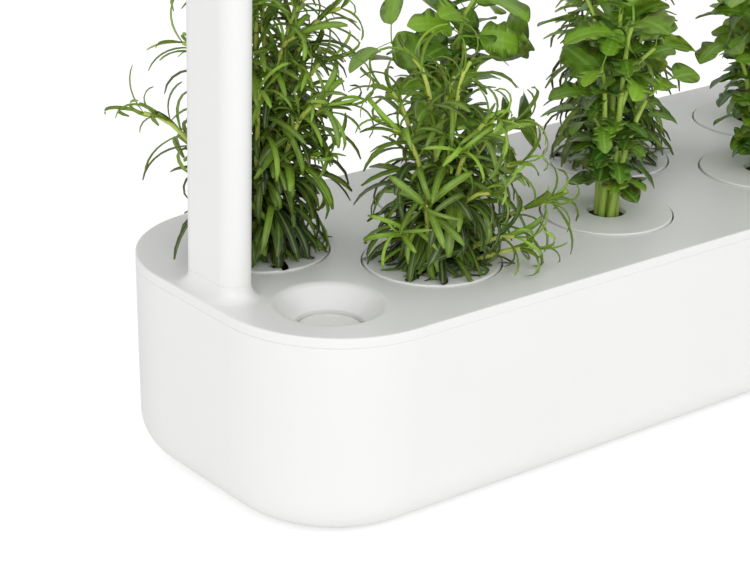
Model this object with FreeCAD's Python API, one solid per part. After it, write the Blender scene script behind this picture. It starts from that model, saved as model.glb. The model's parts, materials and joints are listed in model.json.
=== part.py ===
"""Countertop hydroponic garden: a water tank under a planting deck with nine staggered pods,
a filler bowl with a float, and a grow lamp on two arms with push-fit risers.

Millimetres. X runs along the tank, Y to the back, Z up. The origin is on the counter,
under the middle of the tank. Each sub-part is written to parts/NODE.step.
"""

import FreeCAD, Part
import math
import os

Vector = FreeCAD.Vector
UP = Vector(0, 0, 1)
GOLDEN_TURN = 137.5

# Tank
TANK_LENGTH = 600.0
TANK_DEPTH = 186.0
CORNER_RADIUS = 62.5
TANK_WALL = 2.6
TANK_DRAFT_DEG = 1.1
TANK_BOTTOM_RADIUS = 22.0
FOOT_PROUD = 1.2
FOOT_SINK = 1.0
FOOT_RADIUS = 7.0
FOOT_POCKET_GAP = 0.3
FOOT_INSET_X = 70.0
FOOT_INSET_Y = 48.0
FOOT_ROUND = 0.4
SEAM_ROUND = 0.5

# Deck
DECK_TOP = 108.0
DECK_BAND = 5.2
DECK_PLATE = 2.6
DECK_EDGE_RADIUS = 0.8
DECK_LIP_DROP = 6.0
DECK_LIP_WALL = 1.6
DECK_LIP_GAP = 0.5

# Pods, in a back row of five and a front row of four
POD_END_INSET = 62.6
BACK_ROW_PODS = 5
FRONT_ROW_PODS = 4
ROW_SPACING = 63.0
CAP_RADIUS = 34.4
CAP_GAP = 1.0
CAP_PROUD = 1.0
CAP_PLATE = 2.0
CAP_SKIRT_WALL = 1.6
CAP_EDGE_RADIUS = 0.6
CAP_HOLE_RADIUS = 10.0
CAP_COLLAR_WALL = 1.5
CAP_LIP_WALL = 1.4
CAP_LIP_DROP = 5.0
SEAT_DEPTH = 5.2
SEAT_THICKNESS = 1.8
SEAT_WIDTH = 4.2
COLLAR_WALL = 1.6
CUP_FLANGE = 1.5
CUP_WALL = 1.4
CUP_FLANGE_GAP = 1.2
CUP_SEAT_GAP = 0.4
CUP_MOUTH_DEPTH = 14.0
CUP_SHOULDER_DEPTH = 24.0
CUP_DEPTH = 80.0
BASKET_TOP_RADIUS = 20.5
BASKET_FOOT_RADIUS = 17.0
BASKET_SLOTS = 6
BASKET_SLOT_WIDTH = 5.0
BASKET_SLOT_TOP = 32.0
BASKET_SLOT_FOOT = 74.0
WICK_HOLE_RADIUS = 6.0
SOIL_DEPTH = 2.0
SOIL_GAP = 0.3

# Filler bowl and float
FILLER_INSET_X = 48.0
FILLER_INSET_Y = 47.6
FILLER_RADIUS = 26.0
FILLER_LIP_RADIUS = 4.0
FILLER_DEPTH = 12.0
FILLER_WALL = 1.8
WELL_RADIUS = 17.2
WELL_DEPTH = 40.0
WELL_WINDOWS = 4
WELL_WINDOW_WIDTH = 9.0
WELL_WINDOW_HEIGHT = 14.0
FLOAT_GAP = 1.2
FLOAT_CAP = 2.2
FLOAT_DISH = 0.8
FLOAT_EDGE = 0.6
FLOAT_RIM = 2.0
FLOAT_BULB_GAP = 1.9
FLOAT_BULB_WALL = 1.0
FLOAT_BULB_ROUND = 2.0
FLOAT_REST_GAP = 0.3
RETAINER_THICKNESS = 1.6
RETAINER_CLIP_HEIGHT = 5.0
RETAINER_CLIP_GAP = 0.1
RETAINER_HOLE_RADIUS = 10.0
RETAINER_BAR = 3.0

# Lamp arms, their sockets and the risers under them
ARM_INSET = 16.0
ARM_THICKNESS = 17.0
ARM_WIDTH = 40.0
ARM_WALL = 2.2
SOCKET_HEIGHT = 7.3
SOCKET_FLARE = 6.0
TENON_HEIGHT = 22.0
TENON_GAP = 0.3
TENON_WALL = 1.8
RISER_LENGTH = 180.0
SHOULDER_WEB = 3.0
JOINT_ROUND = 0.35

# Lamp
LAMP_LENGTH = TANK_LENGTH
LAMP_WIDTH = 92.0
LAMP_CORNER_RADIUS = 34.0
LAMP_UNDERSIDE = 372.0
LAMP_THICKNESS = 22.0
LAMP_WALL = 2.2
LAMP_EDGE_RADIUS = 5.0
TRAY_EDGE = 4.0
TRAY_EDGE_RADIUS = 2.5
TRAY_PLATE = 2.4
TRAY_LIP_HEIGHT = 3.0
TRAY_LIP_WALL = 1.4
TRAY_LIP_GAP = 0.3
ARM_HOLE_GAP = 0.3
ARM_FLANGE = 3.0
ARM_FLANGE_OVERHANG = 2.8
DIFFUSER_INSET_X = 80.0
DIFFUSER_INSET_Y = 16.0
DIFFUSER_CORNER = 12.0
DIFFUSER_THICKNESS = 2.0
DIFFUSER_LEDGE = 4.0
DIFFUSER_GAP = 0.3
DIFFUSER_RECESS = 0.5
BOARD_THICKNESS = 1.6
BOARD_STANDOFF = 6.0
BOARD_MARGIN = 6.0
BOARD_CORNER = 4.0
POST_RADIUS = 2.6
POST_INSET = 15.0
POST_OUTSIDE_DIFFUSER = 3.0
LED_SIZE = 5.0
LED_THICKNESS = 1.0
LED_END_SPACE = 22.0
LED_ROWS = 2
LED_PITCH_X = 28.0
LED_PITCH_Y = 26.0
BOSS_RADIUS = 3.2
END_BOSS_INSET_X = 34.0
END_BOSS_INSET_Y = 16.0
SIDE_BOSS_INSET = 5.8
CLAMP_POST_RADIUS = 2.4
TIMER_INSET_X = 54.0
TIMER_INSET_Y = 30.0
TIMER_LENGTH = 30.0
TIMER_WIDTH = 46.0
TIMER_LIFT = 4.0
BUTTON_RADIUS = 6.0
BUTTON_GAP = 0.35
BUTTON_PROUD = 0.8
BUTTON_TRAVEL = 1.2
BUTTON_FLANGE = 1.0
BUTTON_FLANGE_WIDTH = 1.8
BUTTON_STEM_RADIUS = 2.0
BUTTON_ROUND = 0.5
SWITCH_SIZE = 6.0
SWITCH_HEIGHT = 3.5
SWITCH_CLEARANCE = 0.3
INLET_WIDTH = 10.0
INLET_HEIGHT = 9.0
INLET_LENGTH = 13.0
INLET_WALL_GAP = 0.3
INLET_SNOUT_RADIUS = 4.1
INLET_BORE_RADIUS = 2.9
INLET_BORE_DEPTH = 9.5
INLET_PIN_RADIUS = 1.0
INLET_PIN_SINK = 0.8
INLET_PIN_ROOT = 3.0
SCREW_HEAD_RADIUS = 2.4
SCREW_HEAD = 1.4
SCREW_SHANK_RADIUS = 1.1
SCREW_SHANK = 5.5
SCREW_HEAD_ROUND = 0.5
SCREW_CROSS_LENGTH = 2.6
SCREW_CROSS_WIDTH = 0.6
SCREW_CROSS_DEPTH = 0.6
WIRE_RADIUS = 0.8
WIRE_PITCH = 3.5
WIRE_ARCH = 3.0
WIRE_EDGE_SPACE = 3.0

# Plants
CROWN_RADIUS = 6.5
CROWN_HEIGHT = 5.0
STEM_RADIUS = 1.3
PLANT_GAP = 5.3
SHRUB_BUSH_RADIUS = 7.5
SHRUB_STEMS = 7
HERB_LEAF_RADIUS = 13.0
HERB_LEAF_THICKNESS = 5.0
HERB_LEAF_TILT_DEG = 35.0
HERB_STEMS = 6
STEM_STEP_DOWN = 0.4

# The plant in each pod: its kind, its tallest stem and the turn of its first stem
PLANTS = (("shrub", 172.0, 20.0), ("herb", 118.0, 75.0), ("shrub", 140.0, 140.0),
          ("herb", 128.0, 10.0), ("shrub", 150.0, 230.0), ("shrub", 112.0, 200.0),
          ("herb", 132.0, 320.0), ("herb", 108.0, 110.0), ("shrub", 124.0, 50.0))

# Two shrubs by the filler bowl lean into open ground. Per stem: its turn, its reach as a share
# of an even plant's reach, and its height.
LEANING_STEMS = {
    1: ((141.0, 1.72, 76.0), (165.0, 0.85, 150.0), (100.0, 0.95, 165.0), (55.0, 0.95, 172.0),
        (10.0, 1.20, 160.0), (-25.0, 1.25, 135.0), (-45.0, 1.25, 116.0), (-80.0, 1.20, 128.0),
        (-122.0, 0.80, 112.0), (-60.0, 1.00, 62.0), (120.0, 0.50, 170.0)),
    6: ((-39.0, 1.75, 36.0), (-39.0, 1.35, 66.0), (-12.0, 1.15, 92.0), (-75.0, 1.25, 80.0),
        (-120.0, 1.00, 62.0), (150.0, 0.76, 98.0), (60.0, 0.80, 112.0), (100.0, 0.65, 106.0),
        (-64.0, 1.20, 32.0), (-156.0, 1.00, 38.0))}

# Worked out from the sizes above
POD_PITCH = (TANK_LENGTH - 2 * POD_END_INSET) / (BACK_ROW_PODS - 1)
ROW_OFFSET = ROW_SPACING / 2
PLANT_REACH = math.hypot(POD_PITCH / 2, ROW_SPACING) / 2 - PLANT_GAP
FILLER_X = FILLER_INSET_X - TANK_LENGTH / 2
FILLER_Y = FILLER_INSET_Y - TANK_DEPTH / 2
ARM_X = TANK_LENGTH / 2 - ARM_INSET
DIFFUSER_LENGTH = LAMP_LENGTH - 2 * DIFFUSER_INSET_X
DIFFUSER_WIDTH = LAMP_WIDTH - 2 * DIFFUSER_INSET_Y
POST_X = DIFFUSER_LENGTH / 2 - POST_INSET
LED_COLUMNS = int((DIFFUSER_LENGTH - 2 * LED_END_SPACE) / LED_PITCH_X) + 1
END_BOSS_X = LAMP_LENGTH / 2 - END_BOSS_INSET_X
END_BOSS_Y = LAMP_WIDTH / 2 - END_BOSS_INSET_Y
CLAMP_POST_Y = ARM_WIDTH / 2 + ARM_FLANGE_OVERHANG - CLAMP_POST_RADIUS
TIMER_X = LAMP_LENGTH / 2 - TIMER_INSET_X
TIMER_Y = LAMP_WIDTH / 2 - TIMER_INSET_Y
TANK_BOTTOM = FOOT_PROUD
TANK_TOP = DECK_TOP - DECK_BAND
POCKET_RADIUS = CAP_RADIUS + CAP_GAP
SEAT_HOLE_RADIUS = POCKET_RADIUS - SEAT_WIDTH
CUP_OUTER_RADIUS = SEAT_HOLE_RADIUS - CUP_SEAT_GAP
CUP_FLANGE_RADIUS = POCKET_RADIUS - CUP_FLANGE_GAP
SOCKET_TOP = DECK_TOP + SOCKET_HEIGHT
RISER_TOP = SOCKET_TOP + RISER_LENGTH
LAMP_TOP = LAMP_UNDERSIDE + LAMP_THICKNESS
TRAY_TOP = LAMP_UNDERSIDE + TRAY_EDGE
TRAY_FLOOR = LAMP_UNDERSIDE + TRAY_PLATE
COVER_CEILING = LAMP_TOP - LAMP_WALL
FLOAT_FOOT = -WELL_DEPTH + FLOAT_REST_GAP
BOARD_FOOT = TRAY_FLOOR + BOARD_STANDOFF
TIMER_FOOT = TRAY_FLOOR + TIMER_LIFT
TIMER_TOP = TIMER_FOOT + BOARD_THICKNESS
INLET_Z = TIMER_TOP + INLET_HEIGHT / 2
POST_Y = DIFFUSER_WIDTH / 2 + POST_OUTSIDE_DIFFUSER


def move(x, y, z=0.0):
    return Vector(x, y, z)


def rounded_outline(length, depth, radius, z):
    """A rounded rectangle as a closed wire of lines and quarter arcs, at height z."""
    x, y = length / 2, depth / 2
    edges = []
    corners = ((x - radius, y - radius, 0), (radius - x, y - radius, 90),
               (radius - x, radius - y, 180), (x - radius, radius - y, 270))
    for i, (cx, cy, start) in enumerate(corners):
        edges.append(Part.makeCircle(radius, Vector(cx, cy, z), UP, start, start + 90))
        nx, ny, turn = corners[(i + 1) % 4]
        a = edges[-1].valueAt(edges[-1].LastParameter)
        first = math.radians(turn)
        b = Vector(nx + radius * math.cos(first), ny + radius * math.sin(first), z)
        if a.distanceToPoint(b) > 1e-6:
            edges.append(Part.makeLine(a, b))
    return Part.Wire(edges)


def block(length, depth, radius, low, high):
    """A rounded rectangle prism between two heights."""
    return Part.Face(rounded_outline(length, depth, radius, low)).extrude(Vector(0, 0, high - low))


def stadium(thickness, width, low, high):
    """A prism with flat sides along Y and full round ends, the section of the lamp arms."""
    x = thickness / 2
    y = width / 2 - x
    outline = Part.Wire([
        Part.makeCircle(x, Vector(0, y, low), UP, 0, 180),
        Part.makeLine(Vector(-x, y, low), Vector(-x, -y, low)),
        Part.makeCircle(x, Vector(0, -y, low), UP, 180, 360),
        Part.makeLine(Vector(x, -y, low), Vector(x, y, low))])
    return Part.Face(outline).extrude(Vector(0, 0, high - low))


def disc(radius, low, high, x=0.0, y=0.0):
    return Part.makeCylinder(radius, high - low, Vector(x, y, low))


def ring(outer, inner, low, high, x=0.0, y=0.0):
    return disc(outer, low, high, x, y).cut(disc(inner, low, high, x, y))


def turned(points):
    """A solid of revolution about Z from (radius, height) points joined by lines."""
    wire = Part.makePolygon([Vector(r, 0, z) for r, z in points + points[:1]])
    return Part.Face(wire).revolve(Vector(0, 0, 0), UP, 360)


def round_edges(shape, radius, wanted):
    """Fillets the edges that a test on the edge picks."""
    return shape.makeFillet(radius, [e for e in shape.Edges if wanted(e)])


def lies_at(z, edge):
    box = edge.BoundBox
    return abs(box.ZMin - z) < 1e-3 and abs(box.ZMax - z) < 1e-3


def pod_places():
    """Pod centres, numbered from the left: the back row first, then the front row."""
    back = [((i - (BACK_ROW_PODS - 1) / 2) * POD_PITCH, ROW_OFFSET) for i in range(BACK_ROW_PODS)]
    front = [((i - (FRONT_ROW_PODS - 1) / 2) * POD_PITCH, -ROW_OFFSET) for i in range(FRONT_ROW_PODS)]
    return back + front


def foot_places():
    x, y = TANK_LENGTH / 2 - FOOT_INSET_X, TANK_DEPTH / 2 - FOOT_INSET_Y
    return [(sx * x, sy * y) for sx in (-1, 0, 1) for sy in (-1, 1)]


# Tank

def tank_body(inset, low, bottom_radius):
    """The tank's outer form, or its hollow: drafted walls and a rounded bottom edge."""
    lean = math.tan(math.radians(TANK_DRAFT_DEG)) * (TANK_TOP - low)
    top = rounded_outline(TANK_LENGTH - 2 * inset, TANK_DEPTH - 2 * inset,
                          CORNER_RADIUS - inset, TANK_TOP)
    shrink = inset + lean
    bottom = rounded_outline(TANK_LENGTH - 2 * shrink, TANK_DEPTH - 2 * shrink,
                             CORNER_RADIUS - shrink, low)
    body = Part.makeLoft([bottom, top], True, True)
    return round_edges(body, bottom_radius, lambda e: lies_at(low, e))


def make_tank():
    tank = tank_body(0.0, TANK_BOTTOM, TANK_BOTTOM_RADIUS)
    tank = round_edges(tank, SEAM_ROUND, lambda e: lies_at(TANK_TOP, e))
    hollow = tank_body(TANK_WALL, TANK_BOTTOM + TANK_WALL, TANK_BOTTOM_RADIUS - TANK_WALL)
    tank = tank.cut(hollow)
    pocket = FOOT_RADIUS + FOOT_POCKET_GAP
    pockets = [disc(pocket, TANK_BOTTOM - 1, TANK_BOTTOM + FOOT_SINK, x, y) for x, y in foot_places()]
    return tank.cut(pockets)


def make_feet():
    feet = []
    for x, y in foot_places():
        foot = disc(FOOT_RADIUS, 0, TANK_BOTTOM + FOOT_SINK, x, y)
        feet.append(round_edges(foot, FOOT_ROUND, lambda e: lies_at(0, e)))
    return Part.makeCompound(feet)


# Deck

def filler_profile(offset):
    """The bowl's surface from the deck to the foot of the well, as edges, moved out by offset."""
    lip = FILLER_LIP_RADIUS - offset
    lip_x, lip_z = FILLER_RADIUS + FILLER_LIP_RADIUS / 2, -FILLER_LIP_RADIUS
    well = WELL_RADIUS + offset
    slope = math.atan2(FILLER_DEPTH - FILLER_LIP_RADIUS, lip_x - FILLER_LIP_RADIUS - WELL_RADIUS)
    top = Vector(lip_x, 0, lip_z + lip)
    end_turn = math.pi / 2 + slope
    mid_turn = (math.pi / 2 + end_turn) / 2
    mid = Vector(lip_x + lip * math.cos(mid_turn), 0, lip_z + lip * math.sin(mid_turn))
    end = Vector(lip_x + lip * math.cos(end_turn), 0, lip_z + lip * math.sin(end_turn))
    drop = (end.x - well) * math.tan(slope)
    knee = Vector(well, 0, end.z - drop)
    foot = Vector(well, 0, -WELL_DEPTH)
    return [Part.Arc(top, mid, end).toShape(), Part.makeLine(end, knee), Part.makeLine(knee, foot)]


def make_filler():
    """The bowl and its well as one turned shell, with windows for the water low in the well."""
    inner, outer = filler_profile(0.0), filler_profile(FILLER_WALL)
    first, last = inner[0].Vertexes[0].Point, inner[-1].Vertexes[-1].Point
    outer_first, outer_last = outer[0].Vertexes[0].Point, outer[-1].Vertexes[-1].Point
    wire = Part.Wire(inner + [Part.makeLine(last, outer_last)] + outer[::-1]
                     + [Part.makeLine(outer_first, first)])
    bowl = Part.Face(wire).revolve(Vector(0, 0, 0), UP, 360)
    windows = []
    for i in range(WELL_WINDOWS):
        low = -WELL_DEPTH + RETAINER_CLIP_HEIGHT + RETAINER_THICKNESS
        window = Part.makeBox(WELL_RADIUS * 2, WELL_WINDOW_WIDTH, WELL_WINDOW_HEIGHT,
                              Vector(0, -WELL_WINDOW_WIDTH / 2, low))
        window.rotate(Vector(0, 0, 0), UP, 360 * (i + 0.5) / WELL_WINDOWS)
        windows.append(window)
    return bowl.cut(windows)


def make_socket(side):
    """A lamp arm's socket on the deck: a short stub and a hollow tenon that the riser slips over."""
    x = side * ARM_X
    stub = stadium(ARM_THICKNESS, ARM_WIDTH, DECK_TOP, SOCKET_TOP)
    stub = round_edges(stub, JOINT_ROUND, lambda e: lies_at(SOCKET_TOP, e))
    inset = 2 * (ARM_WALL + TENON_GAP)
    tenon = stadium(ARM_THICKNESS - inset, ARM_WIDTH - inset, DECK_TOP, SOCKET_TOP + TENON_HEIGHT)
    stub.translate(move(x, 0))
    tenon.translate(move(x, 0))
    return stub, tenon


def is_socket_foot(edge):
    """True for the edges where an arm's socket meets the deck."""
    box = edge.BoundBox
    small = box.XLength <= ARM_THICKNESS + 1e-3 and box.YLength <= ARM_WIDTH + 1e-3
    return lies_at(DECK_TOP, edge) and small and abs(abs(box.Center.x) - ARM_X) < ARM_THICKNESS


def make_deck():
    plate = block(TANK_LENGTH, TANK_DEPTH, CORNER_RADIUS, TANK_TOP, DECK_TOP)
    plate = round_edges(plate, DECK_EDGE_RADIUS, lambda e: lies_at(DECK_TOP, e))
    plate = round_edges(plate, SEAM_ROUND, lambda e: lies_at(TANK_TOP, e))
    sockets = [make_socket(side) for side in (-1, 1)]
    plate = plate.fuse([stub for stub, _ in sockets]).removeSplitter()

    plate = round_edges(plate, SOCKET_FLARE, is_socket_foot)
    under = DECK_TOP - DECK_PLATE
    inset = 2 * TANK_WALL
    hollow = block(TANK_LENGTH - inset, TANK_DEPTH - inset, CORNER_RADIUS - TANK_WALL,
                   TANK_TOP - 1, under)
    plate = plate.cut(hollow)

    lip_inset = TANK_WALL + DECK_LIP_GAP
    lip_foot = TANK_TOP - DECK_LIP_DROP
    lip = block(TANK_LENGTH - 2 * lip_inset, TANK_DEPTH - 2 * lip_inset, CORNER_RADIUS - lip_inset,
                lip_foot, under)
    inner = lip_inset + DECK_LIP_WALL
    lip = lip.cut(block(TANK_LENGTH - 2 * inner, TANK_DEPTH - 2 * inner, CORNER_RADIUS - inner,
                        lip_foot, under))

    collars = []
    holes = []
    seat_foot = DECK_TOP - SEAT_DEPTH - SEAT_THICKNESS
    for x, y in pod_places():
        collars.append(disc(POCKET_RADIUS + COLLAR_WALL, seat_foot, under, x, y))
        holes.append(disc(POCKET_RADIUS, DECK_TOP - SEAT_DEPTH, DECK_TOP + 1, x, y))
        holes.append(disc(SEAT_HOLE_RADIUS, seat_foot - 1, DECK_TOP, x, y))
    mouth = FILLER_RADIUS + FILLER_LIP_RADIUS / 2
    filler = make_filler()
    filler.translate(move(FILLER_X, FILLER_Y, DECK_TOP))
    holes.append(disc(mouth, under - 1, DECK_TOP + 1, FILLER_X, FILLER_Y))
    bores = []
    for side in (-1, 1):
        bore_inset = 2 * (ARM_WALL + TENON_GAP + TENON_WALL)
        bore = stadium(ARM_THICKNESS - bore_inset, ARM_WIDTH - bore_inset, under - 1,
                       SOCKET_TOP + TENON_HEIGHT + 1)
        bore.translate(move(side * ARM_X, 0))
        bores.append(bore)
    deck = plate.fuse([lip] + collars).cut(holes)
    deck = deck.fuse([filler] + [tenon for _, tenon in sockets]).cut(bores)
    return deck.removeSplitter()


# Float

def make_float_cap():
    """The float's dished top, the level mark seen in the bowl."""
    radius = WELL_RADIUS - FLOAT_GAP
    top = -FILLER_DEPTH
    cap = turned([(0, top - FLOAT_CAP), (radius, top - FLOAT_CAP), (radius, top - FLOAT_EDGE),
                  (radius - FLOAT_EDGE, top), (radius - FLOAT_RIM, top), (0, top - FLOAT_DISH)])
    cap.translate(move(FILLER_X, FILLER_Y, DECK_TOP))
    return cap


def make_float_bulb():
    """The sealed hollow body under the cap."""
    radius = WELL_RADIUS - FLOAT_BULB_GAP
    top = -FILLER_DEPTH - FLOAT_CAP
    foot = FLOAT_FOOT
    wall = FLOAT_BULB_WALL
    outer = disc(radius, foot, top)
    outer = round_edges(outer, FLOAT_BULB_ROUND, lambda e: lies_at(foot, e))
    bulb = outer.cut(disc(radius - wall, foot + wall, top - wall))
    bulb.translate(move(FILLER_X, FILLER_Y, DECK_TOP))
    return bulb


def make_float_retainer():
    """A clip ring under the well, with a cross that the float stands on when the tank is low."""
    foot = -WELL_DEPTH - RETAINER_THICKNESS
    well_outer = WELL_RADIUS + FILLER_WALL
    inner = well_outer + RETAINER_CLIP_GAP
    outer = inner + RETAINER_THICKNESS
    cup = disc(outer, foot, -WELL_DEPTH + RETAINER_CLIP_HEIGHT)
    cup = cup.cut([disc(inner, -WELL_DEPTH, 0), disc(RETAINER_HOLE_RADIUS, foot - 1, 0)])
    bars = [Part.makeBox(2 * RETAINER_HOLE_RADIUS + 2, RETAINER_BAR, RETAINER_THICKNESS,
                         Vector(-RETAINER_HOLE_RADIUS - 1, -RETAINER_BAR / 2, foot)),
            Part.makeBox(RETAINER_BAR, 2 * RETAINER_HOLE_RADIUS + 2, RETAINER_THICKNESS,
                         Vector(-RETAINER_BAR / 2, -RETAINER_HOLE_RADIUS - 1, foot))]
    retainer = cup.fuse(bars).removeSplitter()
    retainer.translate(move(FILLER_X, FILLER_Y, DECK_TOP))
    return retainer


# Pods. Heights are from the deck's top.

def make_cap():
    """The round cover of a pod: a disc with a skirt, a locating lip and a collar round its hole."""
    top = CAP_PROUD
    under = top - CAP_PLATE
    flange_top = -SEAT_DEPTH + CUP_FLANGE
    lip = CUP_OUTER_RADIUS - CUP_WALL - SOIL_GAP
    cap = disc(CAP_RADIUS, flange_top, top)
    cap = round_edges(cap, CAP_EDGE_RADIUS, lambda e: lies_at(top, e))
    hollow = disc(CAP_RADIUS - CAP_SKIRT_WALL, flange_top, under)
    cap = cap.cut(hollow)
    collar = ring(CAP_HOLE_RADIUS + CAP_COLLAR_WALL, CAP_HOLE_RADIUS, -SOIL_DEPTH, under)
    locate = ring(lip, lip - CAP_LIP_WALL, under - CAP_LIP_DROP, under)
    cap = cap.fuse([collar, locate]).cut(disc(CAP_HOLE_RADIUS, -SOIL_DEPTH, top + 1))
    return round_edges(cap, CAP_EDGE_RADIUS,
                       lambda e: lies_at(top, e) and e.BoundBox.XLength < 2.5 * CAP_HOLE_RADIUS)


def make_cup():
    """A pod's cup: a flange on the deck's seat, a funnel shoulder and a slotted basket."""
    seat = -SEAT_DEPTH
    outer, wall = CUP_OUTER_RADIUS, CUP_WALL
    floor = -CUP_DEPTH + wall
    cup = turned([
        (CUP_FLANGE_RADIUS, seat), (CUP_FLANGE_RADIUS, seat + CUP_FLANGE), (outer - wall, seat + CUP_FLANGE),
        (outer - wall, -CUP_MOUTH_DEPTH + wall / 2), (BASKET_TOP_RADIUS - wall, -CUP_SHOULDER_DEPTH + wall / 2),
        (BASKET_FOOT_RADIUS - wall, floor), (WICK_HOLE_RADIUS, floor), (WICK_HOLE_RADIUS, -CUP_DEPTH),
        (BASKET_FOOT_RADIUS, -CUP_DEPTH), (BASKET_TOP_RADIUS, -CUP_SHOULDER_DEPTH),
        (outer, -CUP_MOUTH_DEPTH), (outer, seat)])
    slots = []
    for i in range(BASKET_SLOTS):
        slot = Part.makeBox(BASKET_TOP_RADIUS + 2, BASKET_SLOT_WIDTH, BASKET_SLOT_FOOT - BASKET_SLOT_TOP,
                            Vector(0, -BASKET_SLOT_WIDTH / 2, -BASKET_SLOT_FOOT))
        slot.rotate(Vector(0, 0, 0), UP, 360 * i / BASKET_SLOTS)
        slots.append(slot)
    return cup.cut(slots)


def make_soil():
    """The growing plug: tapered in the basket, straight above it, up to the cap's collar."""
    floor = -CUP_DEPTH + CUP_WALL
    top_radius = BASKET_TOP_RADIUS - CUP_WALL - SOIL_GAP
    foot_radius = BASKET_FOOT_RADIUS - CUP_WALL - SOIL_GAP
    return turned([(0, floor), (foot_radius, floor), (top_radius, -CUP_SHOULDER_DEPTH),
                   (top_radius, -SOIL_DEPTH), (0, -SOIL_DEPTH)])


# Arms and risers

def arm_bore(low, high):
    return stadium(ARM_THICKNESS - 2 * ARM_WALL, ARM_WIDTH - 2 * ARM_WALL, low, high)


def make_riser(side):
    """An extension under a lamp arm: a tube with a closed shoulder and a tenon at its top."""
    inset = 2 * (ARM_WALL + TENON_GAP)
    bore_inset = inset + 2 * TENON_WALL
    foot_of_web = RISER_TOP - SHOULDER_WEB
    tube = stadium(ARM_THICKNESS, ARM_WIDTH, SOCKET_TOP, RISER_TOP)
    tube = round_edges(tube, JOINT_ROUND, lambda e: lies_at(SOCKET_TOP, e) or lies_at(RISER_TOP, e))
    tube = tube.cut(arm_bore(SOCKET_TOP, foot_of_web))
    tenon = stadium(ARM_THICKNESS - inset, ARM_WIDTH - inset, foot_of_web, RISER_TOP + TENON_HEIGHT)
    bore = stadium(ARM_THICKNESS - bore_inset, ARM_WIDTH - bore_inset, foot_of_web, RISER_TOP + TENON_HEIGHT)
    riser = tube.fuse(tenon).cut(bore).removeSplitter()
    riser.translate(move(side * ARM_X, 0))
    return riser


def make_lamp_arm(side):
    """The lamp's own arm: a tube with a flange that is held down inside the tray."""
    flange_top = TRAY_FLOOR + ARM_FLANGE
    tube = stadium(ARM_THICKNESS, ARM_WIDTH, RISER_TOP, flange_top)
    tube = round_edges(tube, JOINT_ROUND, lambda e: lies_at(RISER_TOP, e))
    flange = stadium(ARM_THICKNESS + 2 * ARM_FLANGE_OVERHANG, ARM_WIDTH + 2 * ARM_FLANGE_OVERHANG,
                     TRAY_FLOOR, flange_top)
    arm = tube.fuse(flange).cut(arm_bore(RISER_TOP, flange_top)).removeSplitter()
    arm.translate(move(side * ARM_X, 0))
    return arm


# Lamp

def lamp_block(inset, low, high):
    return block(LAMP_LENGTH - 2 * inset, LAMP_WIDTH - 2 * inset, LAMP_CORNER_RADIUS - inset, low, high)


def boss_places():
    """Where the screws that close the lamp go: two at each end and one at each side's middle."""
    side_y = LAMP_WIDTH / 2 - SIDE_BOSS_INSET
    return [(-END_BOSS_X, -END_BOSS_Y), (-END_BOSS_X, END_BOSS_Y), (0, -side_y), (0, side_y),
            (END_BOSS_X, -END_BOSS_Y), (END_BOSS_X, END_BOSS_Y)]


def post_places():
    return [(x, sy * POST_Y) for x in (-POST_X, 0, POST_X) for sy in (-1, 1)]


def timer_post_places():
    x, y = TIMER_LENGTH / 2 - POST_RADIUS, TIMER_WIDTH / 2 - POST_RADIUS
    return [(TIMER_X + sx * x, TIMER_Y + sy * y) for sx in (-1, 1) for sy in (-1, 1)]


def make_lamp_tray():
    """The lamp's lower shell: it holds the diffuser, the boards and the arms."""
    tray = lamp_block(0, LAMP_UNDERSIDE, TRAY_TOP)
    tray = round_edges(tray, TRAY_EDGE_RADIUS, lambda e: lies_at(LAMP_UNDERSIDE, e))
    lip = lamp_block(LAMP_WALL + TRAY_LIP_GAP, TRAY_FLOOR, TRAY_TOP + TRAY_LIP_HEIGHT)
    tray = tray.fuse(lip)
    tray = tray.cut(lamp_block(LAMP_WALL + TRAY_LIP_GAP + TRAY_LIP_WALL, TRAY_FLOOR,
                               TRAY_TOP + TRAY_LIP_HEIGHT))
    window = block(DIFFUSER_LENGTH - 2 * DIFFUSER_LEDGE, DIFFUSER_WIDTH - 2 * DIFFUSER_LEDGE,
                   DIFFUSER_CORNER - DIFFUSER_LEDGE, LAMP_UNDERSIDE - 1, TRAY_FLOOR + 1)
    posts = [disc(POST_RADIUS, TRAY_FLOOR, BOARD_FOOT, x, y) for x, y in post_places()]
    posts += [disc(POST_RADIUS, TRAY_FLOOR, TIMER_FOOT, x, y) for x, y in timer_post_places()]
    holes = [window]
    for side in (-1, 1):
        hole = stadium(ARM_THICKNESS + 2 * ARM_HOLE_GAP, ARM_WIDTH + 2 * ARM_HOLE_GAP,
                       LAMP_UNDERSIDE - 1, TRAY_FLOOR)
        hole.translate(move(side * ARM_X, 0))
        holes.append(hole)
    for x, y in boss_places():
        relief = disc(BOSS_RADIUS + TRAY_LIP_GAP, TRAY_FLOOR, TRAY_TOP + TRAY_LIP_HEIGHT + 1, x, y)
        holes.append(relief)
        holes.append(disc(SCREW_HEAD_RADIUS + TRAY_LIP_GAP, LAMP_UNDERSIDE - 1,
                          LAMP_UNDERSIDE + SCREW_HEAD, x, y))
        holes.append(disc(SCREW_SHANK_RADIUS + TRAY_LIP_GAP, LAMP_UNDERSIDE, TRAY_FLOOR, x, y))
    holes += [disc(SCREW_SHANK_RADIUS, BOARD_FOOT - SCREW_SHANK + BOARD_THICKNESS, BOARD_FOOT, x, y)
              for x, y in post_places()]
    return tray.cut(holes).fuse(posts).cut(holes[-len(post_places()):]).removeSplitter()


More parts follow.
